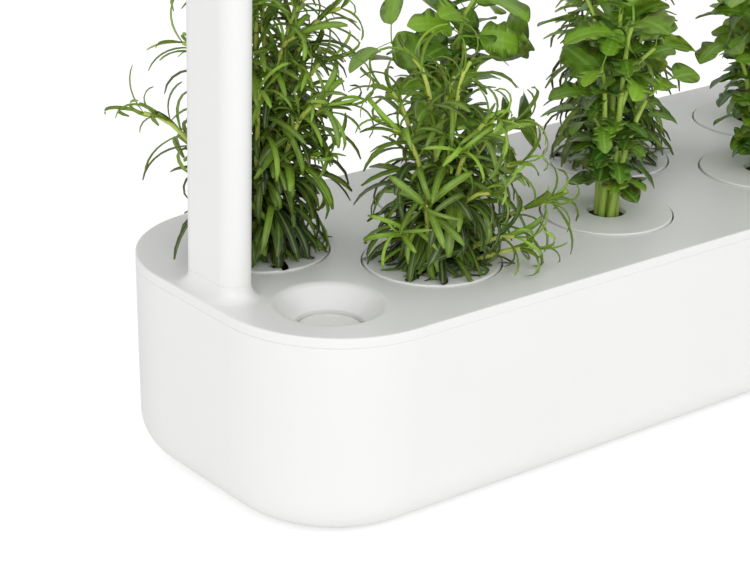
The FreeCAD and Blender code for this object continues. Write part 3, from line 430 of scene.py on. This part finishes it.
def growth_tree():
    """The node tree that turns a plant's stem lines into tapered stems with whorls of leaves."""
    tree = bpy.data.node_groups.new("growth", "GeometryNodeTree")
    face = tree.interface
    for label, kind in GROWTH_LINKS:
        face.new_socket(label, in_out="INPUT", socket_type=kind)
    for label, value in GROWTH_SIZES:
        face.new_socket(label, in_out="INPUT", socket_type="NodeSocketFloat").default_value = value
    for label, value in GROWTH_COUNTS:
        face.new_socket(label, in_out="INPUT", socket_type="NodeSocketInt").default_value = value
    face.new_socket("Plant", in_out="OUTPUT", socket_type="NodeSocketGeometry")
    nodes = Nodes(tree)
    inp = nodes.add("NodeGroupInput").outputs
    out = nodes.add("NodeGroupOutput")
    fine = nodes.add("GeometryNodeResampleCurve", mode="LENGTH",
                     inputs={"Curve": inp["Stems"], "Length": inp["Leaf Spacing"]})
    along = nodes.add("GeometryNodeSplineParameter").outputs["Factor"]
    lines = nodes.add("GeometryNodeStoreNamedAttribute", data_type="FLOAT", domain="POINT",
                      inputs={"Geometry": fine.outputs[0], "Name": "along", "Value": along}).outputs[0]
    joined = nodes.add("GeometryNodeJoinGeometry")
    tree.links.new(stem_tubes(nodes, inp, lines, along), joined.inputs[0])
    tree.links.new(leaf_whorls(nodes, inp, lines), joined.inputs[0])
    laid = settled(nodes, inp, joined.outputs[0])
    smooth = nodes.add("GeometryNodeSetShadeSmooth", inputs={"Geometry": laid})
    nodes.feed(out, "Plant", smooth.outputs[0])
    return tree


def stem_tubes(nodes, inp, lines, along):
    """Tapered tubes with closed ends along the stem lines."""
    section = nodes.add("GeometryNodeCurvePrimitiveCircle", mode="RADIUS",
                        inputs={"Resolution": STEM_SIDES, "Radius": 1.0})
    tube = nodes.add("GeometryNodeCurveToMesh",
                     inputs={"Curve": lines, "Fill Caps": True, "Profile Curve": section.outputs["Curve"],
                             "Scale": nodes.spread(along, inp["Stem Radius"], inp["Tip Radius"])})
    return nodes.add("GeometryNodeSetMaterial",
                     inputs={"Geometry": tube.outputs[0], "Material": inp["Stem Material"]}).outputs[0]


def scatter(nodes, inp, low, high, step):
    """A random number per leaf. Each use has its own step from the plant's seed."""
    node = nodes.add("FunctionNodeRandomValue", data_type="FLOAT")
    nodes.feed(node, 2, low)
    nodes.feed(node, 3, high)
    nodes.feed(node, "Seed", nodes.math("ADD", inp["Seed"], step))
    return node.outputs[1]


def leaf_pose(nodes, inp, stem_rotation, spoke_index, place):
    """A leaf's rotation: its turn round the stem, its tilt away from it and a little roll."""
    index = nodes.add("GeometryNodeInputIndex").outputs[0]
    whorl = nodes.math("FLOOR", nodes.math("DIVIDE", index, inp["Leaves per Whorl"]))
    spoke = nodes.math("MULTIPLY", spoke_index, nodes.math("DIVIDE", 2 * math.pi, inp["Leaves per Whorl"]))
    twist = nodes.math("RADIANS", inp["Turn per Whorl"])
    turn = nodes.math("ADD", nodes.math("MULTIPLY_ADD", whorl, twist, spoke),
                      scatter(nodes, inp, -TURN_SCATTER, TURN_SCATTER, 3))
    lift = nodes.spread(place, inp["Foot Lift"], inp["Tip Lift"], start=0.25,
                        interpolation_type="SMOOTHERSTEP")
    tilt = nodes.math("ADD", lift, scatter(nodes, inp, -TILT_SCATTER_DEG, TILT_SCATTER_DEG, 5))
    pitch = nodes.math("MULTIPLY", nodes.math("RADIANS", tilt), -1.0)
    roll = scatter(nodes, inp, -ROLL_SCATTER, ROLL_SCATTER, 9)
    rotation = stem_rotation
    for angles in ({"Z": turn}, {"X": roll, "Y": pitch}):
        own = nodes.add("FunctionNodeEulerToRotation", inputs={0: nodes.vector(**angles)})
        rotation = nodes.add("FunctionNodeRotateRotation", rotation_space="LOCAL",
                             inputs={0: rotation, 1: own.outputs[0]}).outputs[0]
    return rotation


def leaves_with_room(nodes, inp, rotation, place):
    """True for leaves above the stem's bare foot whose middle and tip stay clear of the obstacle."""
    obstacle = nodes.add("GeometryNodeObjectInfo", inputs={"Object": inp["Clear Of"]}).outputs["Geometry"]
    here = nodes.add("GeometryNodeInputPosition").outputs[0]
    grown = nodes.add("FunctionNodeCompare", data_type="FLOAT", operation="GREATER_THAN",
                      inputs={0: place, 1: inp["First Leaf"]}).outputs[0]
    for part in (0.5, 1.0):
        reach = nodes.vector(X=nodes.math("MULTIPLY", inp["Leaf Reach"], part))
        out_to = nodes.add("FunctionNodeRotateVector", inputs={"Vector": reach, "Rotation": rotation})
        spot = nodes.add("ShaderNodeVectorMath", operation="ADD", inputs={0: here, 1: out_to.outputs[0]})
        gap = nodes.add("GeometryNodeProximity", target_element="FACES",
                        inputs={"Geometry": obstacle, "Sample Position": spot.outputs[0]})
        free = nodes.add("FunctionNodeCompare", data_type="FLOAT", operation="GREATER_THAN",
                         inputs={0: gap.outputs["Distance"], 1: inp["Clearance"]})
        grown = nodes.add("FunctionNodeBooleanMath", operation="AND",
                          inputs={0: grown, 1: free.outputs[0]}).outputs[0]
    return grown


def leaf_whorls(nodes, inp, lines):
    """Leaves on every point of the stem lines, spread evenly round the stem."""
    points = nodes.add("GeometryNodeCurveToPoints", mode="EVALUATED", inputs={"Curve": lines})
    whorls = nodes.add("GeometryNodeDuplicateElements", domain="POINT",
                       inputs={"Geometry": points.outputs["Points"], "Amount": inp["Leaves per Whorl"]})
    place = nodes.add("GeometryNodeInputNamedAttribute", data_type="FLOAT",
                      inputs={"Name": "along"}).outputs[0]
    rotation = leaf_pose(nodes, inp, points.outputs["Rotation"], whorls.outputs["Duplicate Index"], place)
    size = nodes.spread(place, inp["Foot Size"], inp["Tip Size"], start=0.55,
                        interpolation_type="SMOOTHSTEP")
    scale = nodes.math("MULTIPLY", size, scatter(nodes, inp, *SIZE_SCATTER, 7))
    templates = nodes.add("GeometryNodeCollectionInfo", inputs={
        "Collection": inp["Leaves"], "Separate Children": True, "Reset Children": True})
    pick = nodes.add("FunctionNodeRandomValue", data_type="INT",
                     inputs={4: 0, 5: TEMPLATE_PICKS, "Seed": inp["Seed"]})
    leaves = nodes.add("GeometryNodeInstanceOnPoints", inputs={
        "Points": whorls.outputs["Geometry"], "Selection": leaves_with_room(nodes, inp, rotation, place),
        "Instance": templates.outputs[0], "Pick Instance": True, "Instance Index": pick.outputs[2],
        "Rotation": rotation, "Scale": scale})
    tone = nodes.math("MULTIPLY_ADD", nodes.math("POWER", place, TONE_CURVE), TONE_RISE,
                      scatter(nodes, inp, *TONE_SCATTER, 11))
    toned = nodes.add("GeometryNodeStoreNamedAttribute", data_type="FLOAT", domain="INSTANCE",
                      inputs={"Geometry": leaves.outputs[0], "Name": "tone", "Value": tone})
    real = nodes.add("GeometryNodeRealizeInstances", inputs={"Geometry": toned.outputs[0]})
    return nodes.add("GeometryNodeSetMaterial",
                     inputs={"Geometry": real.outputs[0], "Material": inp["Leaf Material"]}).outputs[0]


def settled(nodes, inp, plant):
    """Lays a plant's low leaves on its pod's cover, everywhere but in the cover's hole."""
    here = nodes.add("GeometryNodeInputPosition").outputs[0]
    split = nodes.add("ShaderNodeSeparateXYZ", inputs={0: here}).outputs
    over = nodes.math("SUBTRACT", split["Z"], inp["Ground"])
    bent = nodes.math("EXPONENT", nodes.math("DIVIDE", over, SETTLING))
    rounded = nodes.math("LOGARITHM", nodes.math("ADD", bent, 1.0), math.e)
    lain = nodes.math("MULTIPLY_ADD", rounded, SETTLING, inp["Ground"])
    outward = nodes.add("ShaderNodeVectorMath", operation="SUBTRACT",
                        inputs={0: here, 1: inp["Pod Centre"]})
    level = nodes.add("ShaderNodeVectorMath", operation="MULTIPLY",
                      inputs={0: outward.outputs[0], 1: (1, 1, 0)})
    far = nodes.add("ShaderNodeVectorMath", operation="LENGTH", inputs={0: level.outputs[0]})
    past_hole = nodes.math("GREATER_THAN", far.outputs["Value"], inp["Hole Radius"])
    low = nodes.math("LESS_THAN", over, SETTLING_BAND)
    return nodes.add("GeometryNodeSetPosition", inputs={
        "Geometry": plant, "Selection": nodes.math("MULTIPLY", past_hole, low),
        "Position": nodes.vector(X=split["X"], Y=split["Y"], Z=lain)}).outputs[0]


def stem_points(foot, turn, reach, height, bow):
    """Points of a stem that leaves the plug upright and bows outwards. A bow over 1 keeps it upright
    longer."""
    side = Vector((math.cos(turn), math.sin(turn), 0))
    points = []
    for i in range(STEM_POINTS):
        s = i / (STEM_POINTS - 1)
        rise = height * math.sin(s * math.pi / 2) ** STEM_RISE
        points.append(foot + side * (reach * s ** bow) + Vector((0, 0, rise)))
    return points


def grow(name, stems, settings, growth):
    """A plant's mesh from its stems' points, through the growth tree."""
    line = bpy.data.curves.new(name + "_stems", "CURVE")
    line.dimensions = "3D"
    for points in stems:
        spline = line.splines.new("POLY")
        spline.points.add(len(points) - 1)
        for node, place in zip(spline.points, points):
            node.co = (*place, 1.0)
    carrier = bpy.data.objects.new(name + "_stems", line)
    bpy.context.scene.collection.objects.link(carrier)
    grower = carrier.modifiers.new("growth", "NODES")
    grower.node_group = growth
    sockets = {s.name: s.identifier for s in growth.interface.items_tree if s.in_out == "INPUT"}
    for label, value in settings.items():
        grower[sockets[label]] = value
    bpy.context.view_layer.update()
    shown = carrier.evaluated_get(bpy.context.evaluated_depsgraph_get())
    mesh = bpy.data.meshes.new_from_object(shown)
    mesh.name = name
    bpy.data.objects.remove(carrier)
    plant = bpy.data.objects.new(name, mesh)
    bpy.context.scene.collection.objects.link(plant)
    return plant


# Plants

ROSEMARY = {"Stem Radius": 0.0018, "Tip Radius": 0.0010, "Leaf Spacing": 0.0072, "First Leaf": 0.05,
            "Foot Lift": -5.0, "Tip Lift": 52.0, "Foot Size": 0.95, "Tip Size": 0.66,
            "Turn per Whorl": 78.0, "Leaves per Whorl": 3, "Leaf Reach": 0.028,
            "Stem Material": ROSEMARY_STEM, "Leaf Material": ROSEMARY_LEAF}
HERB = {"Stem Radius": 0.0020, "Tip Radius": 0.0010, "Leaf Spacing": 0.0105, "First Leaf": 0.22,
        "Foot Lift": 5.0, "Tip Lift": 35.0, "Foot Size": 0.8, "Tip Size": 1.15,
        "Turn per Whorl": 100.0, "Leaves per Whorl": 2, "Leaf Reach": 0.022,
        "Stem Material": HERB_STEM, "Leaf Material": HERB_LEAF}

# Each stem: its turn in degrees, its reach and its height in millimetres, and its bow
BACK_LEFT_SHRUB = ((141, 58, 74, 0.9), (150, 36, 112, 1.3), (165, 26, 146, 1.5), (100, 28, 158, 1.6),
                   (55, 26, 166, 1.6), (10, 40, 150, 1.5), (-25, 42, 126, 1.4), (-39, 34, 106, 1.2),
                   (-39, 20, 134, 1.5), (-60, 36, 60, 1.0), (-85, 38, 90, 1.3), (-78, 24, 118, 1.5),
                   (-122, 24, 96, 1.4), (120, 14, 164, 1.7), (-45, 44, 82, 1.1), (-10, 20, 100, 1.3),
                   (30, 36, 96, 1.2))
FRONT_SHRUB = ((-39, 22, 72, 1.0), (-39, 44, 58, 0.9), (-46, 48, 16, 0.7), (-12, 42, 70, 1.1),
               (30, 30, 92, 1.4), (95, 22, 104, 1.6), (-100, 26, 68, 1.3), (165, 24, 78, 1.4),
               (-33, 56, 34, 0.8), (-75, 38, 50, 1.0), (0, 14, 106, 1.5), (130, 26, 92, 1.4),
               (-135, 28, 46, 1.1), (-64, 38, 24, 0.9), (-150, 30, 30, 0.9), (-60, 26, 84, 1.3))
FRONT_HERB = ((150, 14, 62, 1.2), (-150, 16, 88, 1.5), (-110, 12, 112, 1.6), (20, 8, 130, 1.8),
              (-40, 22, 96, 1.4), (60, 22, 108, 1.5), (100, 16, 118, 1.6), (-10, 28, 74, 1.2))
BACK_HERB = ((-40, 34, 46, 1.0), (-20, 30, 84, 1.4), (20, 24, 110, 1.6), (80, 18, 120, 1.7),
             (140, 26, 92, 1.4), (200, 24, 78, 1.3), (260, 22, 100, 1.5), (-60, 12, 118, 1.8))
SEEN_PLANTS = {1: ("shrub", BACK_LEFT_SHRUB), 2: ("herb", BACK_HERB), 6: ("shrub", FRONT_SHRUB),
               7: ("herb", FRONT_HERB)}
# The other plants: kind, how many stems, the tallest in millimetres
OTHER_PLANTS = {3: ("shrub", 11, 132), 4: ("herb", 9, 122), 5: ("shrub", 11, 142), 8: ("herb", 9, 104),
                9: ("shrub", 11, 116)}


def spread_stems(count, tallest, start):
    """Stems that lean out in golden turns, the inner ones the tallest."""
    stems = []
    for i in range(count):
        turn = math.degrees(start + i * GOLDEN_TURN)
        reach = STEM_REACH * math.sqrt((i + 0.5) / count)
        stems.append((turn, reach, tallest * (1 - STEM_STEP_DOWN * i / count), STEM_BOW))
    return stems


def plant_stems(pod):
    """A pod's kind of plant and its stems."""
    if pod in SEEN_PLANTS:
        return SEEN_PLANTS[pod]
    kind, count, tallest = OTHER_PLANTS[pod]
    return kind, spread_stems(count, tallest, pod * START_TURN_STEP)


def stem_lines(centre, stems):
    """The points of a plant's stems, whose feet spread in golden turns over the plug."""
    lines = []
    for i, (turn, reach, height, bow) in enumerate(stems):
        around = i * GOLDEN_TURN
        outwards = Vector((math.cos(around), math.sin(around), 0))
        foot = centre + outwards * FOOT_SPREAD * math.sqrt((i + 0.5) / len(stems))
        lines.append(stem_points(foot, math.radians(turn), reach / 1000, height / 1000, bow))
    return lines


def make_plants():
    growth = growth_tree()
    kinds = {"shrub": (ROSEMARY, rosemary_leaves()), "herb": (HERB, herb_leaves())}
    for pod in PODS:
        low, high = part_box("soil_%d" % pod)
        centre = Vector(((low.x + high.x) / 2, (low.y + high.y) / 2, high.z - PLUG_SINK))
        kind, stems = plant_stems(pod)
        settings, leaves = kinds[kind]
        riser = frame["nodes"]["riser_left" if centre.x < 0 else "riser_right"]
        own = {"Leaves": leaves, "Seed": pod, "Clear Of": riser, "Pod Centre": centre,
               "Ground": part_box("cap_%d" % pod)[1].z + LEAF_REST_GAP}
        plant = grow("growth_%d" % pod, stem_lines(centre, stems), {**settings, **own}, growth)
        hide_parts("plant_%d" % pod)
        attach(plant, "pod_%d" % pod)


# Room

def studio_white():
    """The floor's white, lit a little more where it is seen directly than where it lights the garden."""
    material, nodes, shader = new_material("studio_white", Base_Color=linear(248, 248, 248), Roughness=0.8,
                                           Emission_Color=(1, 1, 1, 1))
    seen = nodes.add("ShaderNodeLightPath").outputs["Is Camera Ray"]
    glow = nodes.math("MULTIPLY_ADD", seen, FLOOR_GLOW - FLOOR_BOUNCE, FLOOR_BOUNCE)
    nodes.feed(shader, "Emission Strength", glow)
    return material


def make_floor():
    """A pale floor that fills the picture."""
    half = FLOOR_HALF_SIZE
    corners = [(-half, -half, 0), (half, -half, 0), (half, half, 0), (-half, half, 0)]
    mesh = bpy.data.meshes.new("floor")
    mesh.from_pydata(corners, [], [(0, 1, 2, 3)])
    mesh.materials.append(studio_white())
    floor = bpy.data.objects.new("floor", mesh)
    bpy.context.scene.collection.objects.link(floor)


def add_area(name, place, target, size, watts):
    """A rectangular light at a place, turned towards its target."""
    light = bpy.data.lights.new(name, "AREA")
    light.shape = "RECTANGLE"
    light.size, light.size_y = size
    light.energy = watts
    lamp = bpy.data.objects.new(name, light)
    place = Vector(place)
    turn = (Vector(target) - place).to_track_quat("-Z", "Y")
    lamp.matrix_world = Matrix.Translation(place) @ turn.to_matrix().to_4x4()
    bpy.context.scene.collection.objects.link(lamp)


def make_light():
    world = bpy.data.worlds.new("studio")
    bpy.context.scene.world = world
    world.use_nodes = True
    sky = world.node_tree.nodes["Background"].inputs
    sky["Color"].default_value = (1, 1, 1, 1)
    sky["Strength"].default_value = SKY
    add_area("front_left", (-1.9, -1.5, 0.95), (-0.1, 0, 0.12), (1.6, 1.2), 16.5)
    add_area("front_right", (0.9, -2.0, 1.5), (0, 0, 0.12), (1.8, 1.2), 10.5)
    bpy.context.scene.view_settings.view_transform = "Standard"


def make_camera():
    """The photograph's camera, from its yaw, pitch, roll and focal length."""
    level = math.cos(CAMERA_PITCH)
    forward = Vector((math.sin(CAMERA_YAW) * level, math.cos(CAMERA_YAW) * level, -math.sin(CAMERA_PITCH)))
    right = Vector((math.cos(CAMERA_YAW), -math.sin(CAMERA_YAW), 0))
    down = forward.cross(right)
    picture_x = right * math.cos(CAMERA_ROLL) + down * math.sin(CAMERA_ROLL)
    picture_y = down * math.cos(CAMERA_ROLL) - right * math.sin(CAMERA_ROLL)
    turn = Matrix((picture_x, -picture_y, -forward)).transposed()
    data = bpy.data.cameras.new("camera")
    data.sensor_width = SENSOR_WIDTH
    data.lens = FOCAL_PIXELS / IMAGE_WIDTH * SENSOR_WIDTH
    data.clip_start = NEAR_CLIP
    camera = bpy.data.objects.new("camera", data)
    camera.matrix_world = Matrix.Translation(CAMERA_PLACE) @ turn.to_4x4()
    bpy.context.scene.collection.objects.link(camera)
    bpy.context.scene.camera = camera


dress_frame()
make_plants()
make_floor()
make_light()
make_camera()
